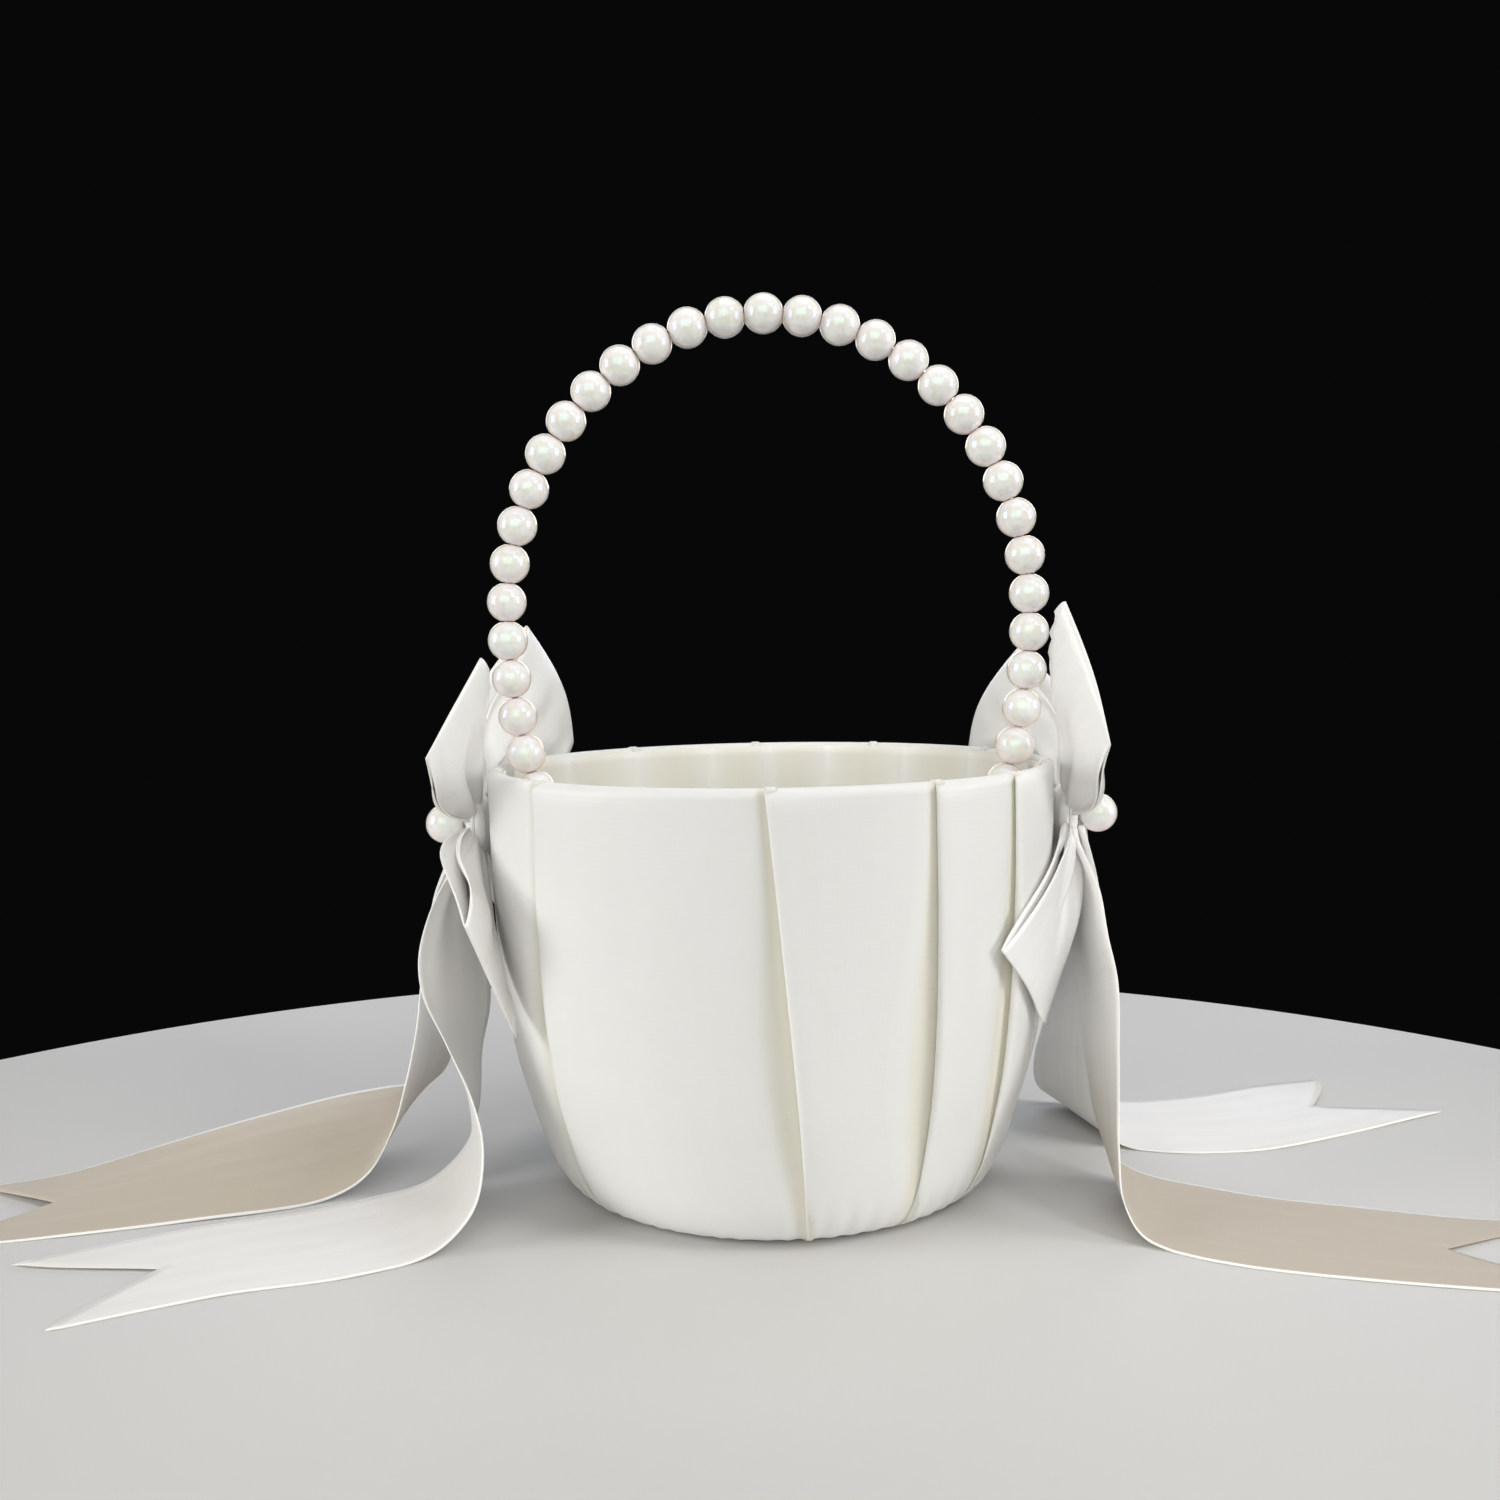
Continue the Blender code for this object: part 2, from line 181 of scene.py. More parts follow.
def speckled(name, dark, pale, grain_mm, roughness, bump):
    """A matte pressed-fibre finish: flecks of two tones, grain_mm apart, that are also its relief."""
    made, tree, shader = new_material(name, roughness=roughness)
    place = add_node(tree, "ShaderNodeTexCoord").outputs["Object"]
    fleck = add_node(tree, "ShaderNodeTexNoise",
                     {"Vector": place, "Scale": 1 / (grain_mm * MM), "Detail": 4.0, "Roughness": 0.7})
    tone = add_node(tree, "ShaderNodeValToRGB", {"Fac": fleck.outputs["Fac"]})
    tone.color_ramp.elements[0].position = 0.35
    tone.color_ramp.elements[0].color = linear(dark)
    tone.color_ramp.elements[1].position = 0.65
    tone.color_ramp.elements[1].color = linear(pale)
    relief = add_node(tree, "ShaderNodeBump",
                      {"Height": fleck.outputs["Fac"], "Strength": bump, "Distance": 0.2 * MM})
    tree.links.new(tone.outputs["Color"], shader.inputs["Base Color"])
    tree.links.new(relief.outputs["Normal"], shader.inputs["Normal"])
    return made


# Grey board, pressed from waste paper: dull, with darker and paler flecks about a millimetre long
grey_board = speckled("pressed_grey_board", "#A39B8C", "#BFB8AA", 1.0, 0.85, 0.4)
paint("card_wall", grey_board)
paint("card_base", grey_board)
# Needled polyester felt: white, matted, with a hairy relief about half a millimetre across
paint("base_pad", speckled("needled_white_felt", "#D9D8D3", "#EEEDE8", 0.5, 0.95, 0.9))


# ---- Outer cover --------------------------------------------------------------------------------
# A strip of ivory satin laid round the tub in eleven wide, unequal knife pleats. Each pleat's left
# edge is a crisp fold that stands over the pleat before it. The strip is turned in over the rim
# and gathered and glued under the base.
rim_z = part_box("outer_cover")[1].z
rim_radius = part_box("outer_cover")[1].x
# The wall's radius and height in mm, from the underside up to just below the rim
side_line = [
    (45.6, 0.4), (50.2, 2.4), (53.4, 6.2), (56.1, 12.0), (59.1, 22.0), (62.1, 35.0), (64.7, 54.0),
    (66.5, 78.0),
]
# Where each pleat's folded edge lies, in degrees from the front towards the right: (at rim, at base)
pleat_edges = [
    (-50, -52), (-2, 6), (29, 32), (50, 55), (84, 80), (118, 122), (152, 148), (182, 186),
    (214, 210), (246, 250), (278, 274),
]


def smooth_along(points, t):
    """The Catmull-Rom point at t through a list of vectors, with t from 0 to the last one's number."""
    i = min(int(t), len(points) - 2)
    f = t - i
    a, b, c, d = (points[min(max(i + k, 0), len(points) - 1)] for k in (-1, 0, 1, 2))
    slope, bend, twist = c - a, 2 * a - 5 * b + 4 * c - d, 3 * b - a - 3 * c + d
    return 0.5 * (2 * b + slope * f + bend * f ** 2 + twist * f ** 3)


def blend_step(low, high, x):
    """0 below low, 1 above high, smooth between."""
    f = min(max((x - low) / (high - low), 0.0), 1.0)
    return f * f * (3 - 2 * f)


def cloth(name, rows, uvs, finish, thick, wraps=False, shade_shares=None, centred=False):
    """A sheet of cloth through rows of points. uvs gives each point's place on the flat cloth, in
    metres, and has one column more than the rows where the sheet wraps round. folds gives each point's
    share of painted shade, from 0 to 1, stored as its fold attribute. The rows are the cloth's face, or
    its middle if centred."""
    columns = len(rows[0])
    mesh = bpy.data.meshes.new(name)
    spans = columns if wraps else columns - 1
    corners = [(r, c) for r in range(len(rows) - 1) for c in range(spans)]
    quads = [((r, c), (r, c + 1), (r + 1, c + 1), (r + 1, c)) for r, c in corners]
    faces = [[r * columns + c % columns for r, c in quad] for quad in quads]
    mesh.from_pydata([p for row in rows for p in row], [], faces)
    layer = mesh.uv_layers.new(name="UVMap")
    for spot, (r, c) in zip(layer.uv, (corner for quad in quads for corner in quad)):
        spot.vector = uvs[r][c]
    if shade_shares:
        depth = mesh.attributes.new("fold", "FLOAT", "POINT")
        depth.data.foreach_set("value", [f for row in shade_shares for f in row])
    mesh.shade_smooth()
    mesh.materials.append(finish)
    piece = bpy.data.objects.new(name, mesh)
    bpy.context.scene.collection.objects.link(piece)
    solid = piece.modifiers.new("cloth_thickness", "SOLIDIFY")
    solid.thickness = thick
    solid.offset = 0.0 if centred else -1.0
    solid.use_even_offset = False
    return piece


def satin(name, face, deep, thread_mm, roughness, sheer=0.22, edge_width=0.0, cloth_width=0.0):
    """Woven polyester satin. Its face threads run along the cloth (the UV's second axis) as long floats,
    which give soft streaks of gloss. The fold attribute paints shade: by its share the colour is mixed
    towards deep, warmer and darker. sheer is how much light goes through it. A ribbon has a raised woven
    edge of edge_width along both sides, painted near white over any painted shade."""
    made, tree, shader = new_material(
        name, roughness=roughness, ior=1.5, anisotropic=0.45, sheen_weight=0.18, sheen_roughness=0.4,
        subsurface_weight=sheer, subsurface_radius=(1.0, 0.9, 0.75), subsurface_scale=1.2 * MM)
    flat = add_node(tree, "ShaderNodeTexCoord").outputs["UV"]
    # Single threads, drawn about twice as thick as real ones so that they show. Each float is
    # fourteen threads long.
    thread = 1 / (thread_mm * MM)
    stretched = add_node(tree, "ShaderNodeMapping",
                         {"Vector": flat, "Scale": (thread, thread / 14, 1.0)})
    threads = add_node(tree, "ShaderNodeTexNoise",
                       {"Vector": stretched.outputs["Vector"], "Scale": 1.0, "Detail": 2.0})
    # Slubs and tension: streaks about 4 mm wide and 45 mm long, here as counts in a metre
    wide = add_node(tree, "ShaderNodeMapping", {"Vector": flat, "Scale": (260.0, 22.0, 1.0)})
    streaks = add_node(tree, "ShaderNodeTexNoise",
                       {"Vector": wide.outputs["Vector"], "Scale": 1.0, "Detail": 3.0})
    # Cross threads that bind the floats. At a scale of 1 the node's bands lie tau / 20 apart.
    weft_gap = 1.0 * MM
    weft = add_node(tree, "ShaderNodeTexWave",
                    {"Vector": flat, "Scale": math.tau / (20 * weft_gap), "Distortion": 1.5,
                     "Detail": 1.0}, bands_direction="Y")
    # Painted shade: the fold attribute's share mixes the face colour towards deep, in pleat valleys,
    # lining hollows and lying tails
    depth = add_node(tree, "ShaderNodeAttribute", attribute_name="fold").outputs["Fac"]
    varied = add_node(tree, "ShaderNodeMath",
                      {0: streaks.outputs["Fac"], 1: 0.22, 2: depth}, operation="MULTIPLY_ADD")
    tone = add_node(tree, "ShaderNodeMapRange",
                    {"Value": varied.outputs["Value"], "From Min": 0.08, "From Max": 1.1})
    colour = add_node(tree, "ShaderNodeMix",
                      {"Factor": tone.outputs["Result"], "A": linear(face), "B": linear(deep)},
                      data_type="RGBA").outputs["Result"]
    height = add_node(tree, "ShaderNodeMath",
                      {0: weft.outputs["Fac"], 1: 0.35, 2: threads.outputs["Fac"]},
                      operation="MULTIPLY_ADD").outputs["Value"]
    if edge_width:
        across = add_node(tree, "ShaderNodeSeparateXYZ", {"Vector": flat}).outputs["X"]
        from_middle = add_node(tree, "ShaderNodeMath", {0: across, 1: cloth_width / 2},
                               operation="SUBTRACT")
        away = add_node(tree, "ShaderNodeMath", {0: from_middle.outputs["Value"]},
                        operation="ABSOLUTE")
        band = add_node(tree, "ShaderNodeMapRange",
                        {"Value": away.outputs["Value"], "From Min": cloth_width / 2 - edge_width,
                         "From Max": cloth_width / 2 - 0.8 * edge_width}).outputs["Result"]
        height = add_node(tree, "ShaderNodeMath", {0: band, 1: 1.2, 2: height},
                          operation="MULTIPLY_ADD").outputs["Value"]
        colour = add_node(tree, "ShaderNodeMix", {"Factor": band, "A": colour, "B": linear("#FFFEFA")},
                          data_type="RGBA").outputs["Result"]
    relief = add_node(tree, "ShaderNodeBump",
                      {"Height": height, "Strength": 0.16, "Distance": 0.12 * MM})
    uneven = 0.07
    gloss = add_node(tree, "ShaderNodeMapRange",
                     {"Value": threads.outputs["Fac"], "To Min": roughness - uneven,
                      "To Max": roughness + uneven})
    duller = add_node(tree, "ShaderNodeMath", {0: depth, 1: 0.35, 2: gloss.outputs["Result"]},
                      operation="MULTIPLY_ADD")
    tree.links.new(colour, shader.inputs["Base Color"])
    tree.links.new(duller.outputs["Value"], shader.inputs["Roughness"])
    tree.links.new(relief.outputs["Normal"], shader.inputs["Normal"])
    floats = add_node(tree, "ShaderNodeTangent", direction_type="UV_MAP", uv_map="UVMap")
    tree.links.new(floats.outputs["Tangent"], shader.inputs["Tangent"])
    return made


# The turn over the rim, in mm in and up from the wall's top
lip_line = [
    (0.0, -0.5), (-0.25, -0.12), (-0.8, 0.0), (-1.5, -0.05), (-2.1, -0.4), (-2.35, -1.2),
    (-2.4, -2.2),
]
rows_between = 7


def tub_line():
    """The cover's outer line as (radius, height): out from under the base, up the side, over the rim."""
    points = [Vector((r, z)) * MM for r, z in side_line] + [Vector((rim_radius, rim_z))]
    row_count = rows_between * (len(points) - 1) + 1
    rise = [smooth_along(points, i / rows_between) for i in range(row_count)]
    under = [Vector((r * MM, 1.5 * MM)) for r in (30, 34, 38, 42)]
    near_rim = rise.pop()
    return under + rise + [near_rim + Vector(step) * MM for step in lip_line]


def edge_angle(index, height):
    """Where pleat edge number index lies at a height, in degrees. It carries on past a full turn."""
    at_rim, at_base = pleat_edges[index % len(pleat_edges)]
    return at_base + (at_rim - at_base) * height / rim_z + 360 * (index // len(pleat_edges))


def fold_size(height):
    """How far the pleats stand out at a height, as a share of their most: a little at the base, all
    of it at the middle, about half at the rim, and nothing on top of it."""
    share = min(max(height / rim_z, 0.0), 1.0)
    size = (0.12 + 0.88 * blend_step(0.02, 0.36, share)) * (1 - 0.45 * blend_step(0.6, 1.0, share))
    return size * blend_step(rim_z, rim_z - 2.0 * MM, height)


def valley_width(height):
    """How wide the sunken place beside an edge is at a height, as a share: widest below the middle,
    and a hairline at the rim."""
    share = min(max(height / rim_z, 0.0), 1.0)
    return 0.30 + math.exp(-((share - 0.40) / 0.32) ** 2)


# The rounded nose of a folded edge, in degrees past the edge and mm from the wall line, from deep
# under the fold to its crest
nose = [
    (1.9, -0.9), (1.7, -0.55), (0.9, -0.30), (0.25, -0.05), (0.0, 0.40), (0.10, 0.90), (0.5, 1.25),
    (1.3, 1.42),
]
# From the last flat place down into the valley before the next edge
dip = [
    (-6.5, 0.12), (-5.2, -0.05), (-4.2, -0.30), (-3.3, -0.58), (-2.5, -0.80), (-1.6, -0.92),
    (-0.6, -0.95), (0.6, -0.95),
]
# A pleat's flat panel, from its crest to where it starts to dip, in degrees from the two edges
panel_start, panel_end = 2.8, 8.0
panel_columns = 22
cover_stand = 0.35
pucker_count = 64
# One soft crease that was pressed into the front panel, in degrees
crease_angle, crease_width = -28, 1.3


def pleat_section(height):
    """One turn of the cover's section at a height: (degrees, mm from the wall line, painted shade) a
    column.
    """
    section = []
    width = valley_width(height)
    for index in range(len(pleat_edges)):
        start, end = edge_angle(index, height), edge_angle(index + 1, height)
        # Painted shade under the nose, where it sinks below the wall line
        section += [(start + d, off, 0.9 * blend_step(0.5, -0.5, off)) for d, off in nose]
        first, last = start + panel_start, end - panel_end * width
        for i in range(panel_columns):
            f = i / (panel_columns - 1)
            crest = (1 - f) ** 1.6
            section.append((first + (last - first) * f, 0.33 + crest, 0.0))
        # Painted shade down in the valley before the next edge
        section += [(end + (d * width if d < 0 else d), off, blend_step(0.15, -0.95, off))
                    for d, off in dip]
    return section


rows, uvs, shade_shares = [], [], []
run = 0.0
line = tub_line()
for number, (radius, height) in enumerate(line):
    if number:
        run += (line[number] - line[number - 1]).length
    section = pleat_section(height)
    row, flat, shade_row = [], [], []
    along = 0.0
    over_rim = number > len(line) - len(lip_line)
    size = 0.0 if over_rim else fold_size(height)
    stand = 0.0 if over_rim else cover_stand
    for column, (degrees, off, fold) in enumerate(section):
        angle = math.radians(degrees)
        crease = math.exp(-((degrees - crease_angle) / crease_width) ** 2)
        crease *= -0.35 * blend_step(0.02, 0.06, height)
        wave = 0.35 * noise.noise(Vector((degrees / 17, height * 14, 3.0)))
        pucker = 0.30 * math.sin(pucker_count * angle) * blend_step(0.014, 0.002, height)
        r = radius + (stand + size * (off + crease + wave) + pucker) * MM
        point = Vector((r * math.sin(angle), -r * math.cos(angle), height))
        if column:
            along += (point - row[-1]).length
        row.append(point)
        flat.append((along, run))
        # Over the rim the painted shade is halved
        shade_row.append(fold * (0.5 if over_rim else 1.0))
    flat.append((along + (row[0] - row[-1]).length, run))
    rows.append(row)
    uvs.append(flat)
    shade_shares.append(shade_row)

# Bridal satin, woven from bright polyester: ivory white, with creamy yellow painted shade deep in a fold
bridal_satin = satin("ivory_bridal_satin", "#F1F0EC", "#E5E2D3", 0.45, 0.46)
cover = cloth("pleated_satin_cover", rows, uvs, bridal_satin, 0.3 * MM, wraps=True, shade_shares=shade_shares)
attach(cover, "basket")
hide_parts("outer_cover")


# ---- Liner and floor board ----------------------------------------------------------------------
# The liner is a warmer satin, gathered in soft regular folds round the inside of the wall and
# turned in under the floor board, a disc of card padded a little and covered in the same satin.
def run_tree(tree, name, start_mesh, values):
    """Runs a node tree on a mesh with its inputs set, and returns the result as a plain piece."""
    carrier = bpy.data.objects.new(name + "_carrier", start_mesh)
    bpy.context.scene.collection.objects.link(carrier)
    modifier = carrier.modifiers.new(tree.name, "NODES")
    modifier.node_group = tree
    for item in tree.interface.items_tree:
        if item.name in values:
            modifier[item.identifier] = values[item.name]
    bpy.context.view_layer.update()
    evaluated = carrier.evaluated_get(bpy.context.evaluated_depsgraph_get())
    mesh = bpy.data.meshes.new_from_object(evaluated)
    carrier.modifiers.remove(modifier)
    piece = bpy.data.objects.new(name, mesh)
    bpy.context.scene.collection.objects.link(piece)
    bpy.data.objects.remove(carrier)
    return piece


def new_tree(name, inputs):
    """A geometry node tree with named inputs, as (name, socket type), and one geometry out."""
    tree = bpy.data.node_groups.new(name, "GeometryNodeTree")
    tree.is_modifier = True
    tree.interface.new_socket("Geometry", in_out="INPUT", socket_type="NodeSocketGeometry")
    for label, kind in inputs:
        tree.interface.new_socket(label, in_out="INPUT", socket_type="NodeSocket" + kind)
    tree.interface.new_socket("Geometry", in_out="OUTPUT", socket_type="NodeSocketGeometry")
    return tree, add_node(tree, "NodeGroupInput").outputs


def math_node(tree, operation, *values):
    """A math node's result, from one to three values or links."""
    made = add_node(tree, "ShaderNodeMath", dict(enumerate(values)), operation=operation)
    return made.outputs["Value"]


def position_parts(tree):
    """Each point's own X, Y and Z."""
    position = add_node(tree, "GeometryNodeInputPosition").outputs["Position"]
    return add_node(tree, "ShaderNodeSeparateXYZ", {"Vector": position}).outputs


def close_tree(tree, shape, finish):
    """Ends a tree: real meshes in place of instances, smooth shading and one material."""
    real = add_node(tree, "GeometryNodeRealizeInstances", {"Geometry": shape})
    smooth = add_node(tree, "GeometryNodeSetShadeSmooth", {"Geometry": real.outputs["Geometry"]})
    finished = add_node(tree, "GeometryNodeSetMaterial",
                        {"Geometry": smooth.outputs["Geometry"], "Material": finish})
    add_node(tree, "NodeGroupOutput", {"Geometry": finished.outputs["Geometry"]})


liner_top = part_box("inner_liner")[1].z
liner_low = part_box("inner_liner")[0].z + 0.8 * MM
liner_inset = 2.8 * MM
liner_radius = rim_radius - liner_inset
gathers, given = new_tree("gathered_lining", [
    ("Low", "Float"), ("High", "Float"), ("Rim Radius", "Float"), ("Folds", "Float"),
    ("Fold Depth", "Float"), ("Material", "Material")])
tube = add_node(gathers, "GeometryNodeMeshCylinder",
                {"Vertices": 480, "Side Segments": 44, "Radius": 1.0, "Depth": 1.0}, fill_type="NONE")
where = position_parts(gathers)
share = math_node(gathers, "ADD", where["Z"], 0.5)
angle = math_node(gathers, "ARCTAN2", where["X"], where["Y"])
# The wall's radius as a share of the rim's, by its share of the height. It curls in at its foot.
foot_curl = 0.02
wall_curve = add_node(gathers, "ShaderNodeFloatCurve", {"Value": share})
curve = wall_curve.mapping.curves[0]
inner_line = [((z * MM - liner_low) / (liner_top - liner_low), (r * MM - liner_inset) / liner_radius)
              for r, z in side_line[2:]]
curve.points[0].location = (0.0, inner_line[0][1] - foot_curl)
curve.points[1].location = (1.0, 1.0)
for x, y in inner_line[1:]:
    curve.points.new(x, y)
wall_curve.mapping.update()
# Two waves of unlike count, so that the folds are not all alike
fast = math_node(gathers, "MULTIPLY", angle, given["Folds"])
slow = math_node(gathers, "SINE", math_node(gathers, "MULTIPLY", angle, 5.0))
bent = math_node(gathers, "MULTIPLY_ADD", slow, 1.1, fast)
# A fold is a narrow ridge where the wave passes zero, and it is deeper towards the rim
half_wave = math_node(gathers, "SINE", math_node(gathers, "MULTIPLY", bent, 0.5))
valley = math_node(gathers, "POWER", math_node(gathers, "ABSOLUTE", half_wave), 0.6)
ridge = math_node(gathers, "SUBTRACT", 1.0, valley)
fade = math_node(gathers, "MULTIPLY_ADD", share, 0.55, 0.35)
fold_share = math_node(gathers, "MULTIPLY", ridge, fade)
push = math_node(gathers, "MULTIPLY", fold_share, given["Fold Depth"])
wall = math_node(gathers, "MULTIPLY", wall_curve.outputs["Value"], given["Rim Radius"])
radius_now = math_node(gathers, "SUBTRACT", wall, push)
rise = math_node(gathers, "SUBTRACT", given["High"], given["Low"])
place = add_node(gathers, "ShaderNodeCombineXYZ", {
    "X": math_node(gathers, "MULTIPLY", radius_now, math_node(gathers, "SINE", angle)),
    "Y": math_node(gathers, "MULTIPLY", radius_now, math_node(gathers, "COSINE", angle)),
    "Z": math_node(gathers, "MULTIPLY_ADD", share, rise, given["Low"])})
shaped = add_node(gathers, "GeometryNodeSetPosition",
                  {"Geometry": tube.outputs["Mesh"], "Position": place.outputs["Vector"]})
# The tube's own map, from 0 to 1, as metres of cloth round and up
flat_size = add_node(gathers, "ShaderNodeVectorMath",
                     {0: tube.outputs["UV Map"], 1: (0.40, 0.10, 0.0)}, operation="MULTIPLY")
mapped = add_node(gathers, "GeometryNodeStoreNamedAttribute",
                  {"Geometry": shaped.outputs["Geometry"], "Name": "UVMap",
                   "Value": flat_size.outputs["Vector"]}, data_type="FLOAT2", domain="CORNER")
# Painted shade: the hollows between the ridges get the lining's darker tone, the ridges none
fold_shade = math_node(gathers, "MULTIPLY", math_node(gathers, "SUBTRACT", 0.65, ridge), 0.9)
marked = add_node(gathers, "GeometryNodeStoreNamedAttribute",
                  {"Geometry": mapped.outputs["Geometry"], "Name": "fold", "Value": fold_shade},
                  data_type="FLOAT", domain="POINT")
facing_in = add_node(gathers, "GeometryNodeFlipFaces", {"Mesh": marked.outputs["Geometry"]})
close_tree(gathers, facing_in.outputs["Mesh"], given["Material"])

# Lining satin, woven from bright polyester: a little creamier and duller than the cover
# Its darker tone, #E9E3D2, is painted shade in the hollows between the lining's folds
lining_satin = satin("cream_lining_satin", "#F5F4EE", "#E9E3D2", 0.45, 0.50)
liner = run_tree(gathers, "gathered_liner", bpy.data.meshes.new("liner_start"), {
    "Low": liner_low, "High": liner_top, "Rim Radius": liner_radius,
    "Folds": 20.0, "Fold Depth": 1.1 * MM, "Material": lining_satin})
lining = liner.modifiers.new("cloth_thickness", "SOLIDIFY")
lining.thickness = 0.3 * MM
lining.offset = -1.0
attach(liner, "basket")
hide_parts("inner_liner")

# The board's top is padded into a low dome, and the last rings turn down over its edge
floor_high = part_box("floor_board")[1]
floor_radius = floor_high.x
floor_rings, floor_spokes = 26, 160
edge_share = 0.92
pad_rise = 1.1 * MM
cloth_middle = 0.05
rows, uvs = [], []
for ring in range(floor_rings + 1):
    row, flat = [], []
    share = ring / floor_rings
    radius = floor_radius * min(share / edge_share, 1.0)
    dome = pad_rise * (1 - (radius / floor_radius) ** 4)
    drop = pad_rise * blend_step(0.90, 1.0, share)
    r = max(radius, 0.05 * MM) + 0.5 * MM * math.sin(math.pi * blend_step(edge_share, 1.0, share))
    for spoke in range(floor_spokes):
        angle = -math.tau * spoke / floor_spokes
        x, y = math.cos(angle), math.sin(angle)
        dimple = 0.12 * MM * noise.noise(Vector((x * share * 3, y * share * 3, 1.0)))
        row.append(Vector((r * x, r * y, floor_high.z + dome - drop + dimple)))
        flat.append((cloth_middle + row[-1].x, cloth_middle + row[-1].y))
    rows.append(row)
    uvs.append(flat + [flat[0]])
floor = cloth("padded_floor_board", rows, uvs, lining_satin, 0.3 * MM, wraps=True)
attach(floor, "basket")
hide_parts("floor_board")


# ---- Handle wire --------------------------------------------------------------------------------
# Drawn craft wire, 1.5 mm thick. It carries the pearls, turns out through the wall and the knots,
# and its two ends are the axle that the handle tips on.
def brushed_wire(name):
    """Drawn steel wire: grey, bright, with fine scratches along it."""
    made, tree, shader = new_material(name, metallic=1.0, roughness=0.3)
    place = add_node(tree, "ShaderNodeTexCoord").outputs["Object"]
    scratch = add_node(tree, "ShaderNodeTexNoise", {"Vector": place, "Scale": 2500.0, "Detail": 3.0})
    tone = add_node(tree, "ShaderNodeMix",
                    {"Factor": scratch.outputs["Fac"], "A": linear("#B9B7B1"),
                     "B": linear("#DAD8D3")}, data_type="RGBA")
    rough = add_node(tree, "ShaderNodeMapRange",
                     {"Value": scratch.outputs["Fac"], "To Min": 0.22, "To Max": 0.4})
    tree.links.new(tone.outputs["Result"], shader.inputs["Base Color"])
    tree.links.new(rough.outputs["Result"], shader.inputs["Roughness"])
    return made


paint("handle_wire", brushed_wire("drawn_craft_wire"))


# ---- Pearls -------------------------------------------------------------------------------------
# Ten-millimetre faux pearls: moulded ABS beads dipped in pearl lacquer, drilled through, flat at
# both holes where they press on each other. 33 are threaded on the handle, and one more on each
# end of the wire holds it in the bow's knot.
pearl_names = sorted(n for n in frame["nodes"] if n.startswith("pearl_"))
ends = ["knot_pearl_left", "knot_pearl_right"]


def middle_of(node_name):
    """The middle of a CAD node's box."""
    low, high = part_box(node_name)
    return (low + high) / 2


centres = [middle_of(n) for n in pearl_names]
directions = [(centres[min(i + 1, len(centres) - 1)] - centres[max(i - 1, 0)]).normalized()
              for i in range(len(centres))]
centres += [middle_of(n) for n in ends]
directions += [Vector((1.0, 0.0, 0.0))] * len(ends)
top_pearl = len(pearl_names) // 2
pearl_pitch = (centres[top_pearl + 1] - centres[top_pearl]).length
pearl_radius = 4.85 * MM

beads, given = new_tree("pearls_on_wire", [
    ("Radius", "Float"), ("Flat", "Float"), ("Hole Radius", "Float"), ("Seed", "Int"),
    ("Material", "Material")])
ball = add_node(beads, "GeometryNodeMeshUVSphere",
                {"Segments": 40, "Rings": 26, "Radius": given["Radius"]})
where = position_parts(beads)
# Both ends are pressed flat at the height Flat, and sunk by a quarter inside the hole
low_flat = math_node(beads, "MULTIPLY", given["Flat"], -1.0)
from_below = math_node(beads, "MAXIMUM", where["Z"], low_flat)
pressed = math_node(beads, "MINIMUM", from_below, given["Flat"])
y_squared = math_node(beads, "MULTIPLY", where["Y"], where["Y"])
wide = math_node(beads, "SQRT",
                 math_node(beads, "MULTIPLY_ADD", where["X"], where["X"], y_squared))
in_hole = math_node(beads, "LESS_THAN", wide, given["Hole Radius"])
sink = math_node(beads, "MULTIPLY_ADD", in_hole, -0.25, 1.0)
sunk = math_node(beads, "MULTIPLY", pressed, sink)
drilled = add_node(beads, "GeometryNodeSetPosition", {
    "Geometry": ball.outputs["Mesh"],
    "Position": add_node(beads, "ShaderNodeCombineXYZ",
                         {"X": where["X"], "Y": where["Y"], "Z": sunk}).outputs["Vector"]})
along = add_node(beads, "GeometryNodeInputNamedAttribute", {"Name": "along"},
                 data_type="FLOAT_VECTOR")
aligned = add_node(beads, "FunctionNodeAlignRotationToVector",
                   {"Vector": along.outputs["Attribute"]}, axis="Z")
strung = add_node(beads, "GeometryNodeInstanceOnPoints", {
    "Points": given["Geometry"], "Instance": drilled.outputs["Geometry"],
    "Rotation": aligned.outputs["Rotation"]})
# Each bead is turned at random about the wire, differs a little in size, and has its own tint
spin = add_node(beads, "FunctionNodeRandomValue", {"Seed": given["Seed"]}, data_type="FLOAT_VECTOR")
spin.inputs["Min"].default_value = (0.0, 0.0, 0.0)
spin.inputs["Max"].default_value = (0.0, 0.0, math.tau)
spun = add_node(beads, "GeometryNodeRotateInstances",
                {"Instances": strung.outputs["Instances"], "Rotation": spin.outputs["Value"]})
spread = add_node(beads, "FunctionNodeRandomValue", {"Seed": given["Seed"]}, data_type="FLOAT")
smallest, largest = 0.985, 1.0
spread.inputs[2].default_value = smallest
spread.inputs[3].default_value = largest
sized = add_node(beads, "GeometryNodeScaleInstances",
                 {"Instances": spun.outputs["Instances"], "Scale": spread.outputs[1]})
number = add_node(beads, "GeometryNodeInputIndex").outputs["Index"]
shade = add_node(beads, "FunctionNodeRandomValue", {"Seed": given["Seed"], "ID": number},
                 data_type="FLOAT")
toned = add_node(beads, "GeometryNodeStoreNamedAttribute",
                 {"Geometry": sized.outputs["Instances"], "Name": "tint", "Value": shade.outputs[1]},
                 data_type="FLOAT", domain="INSTANCE")
close_tree(beads, toned.outputs["Geometry"], given["Material"])

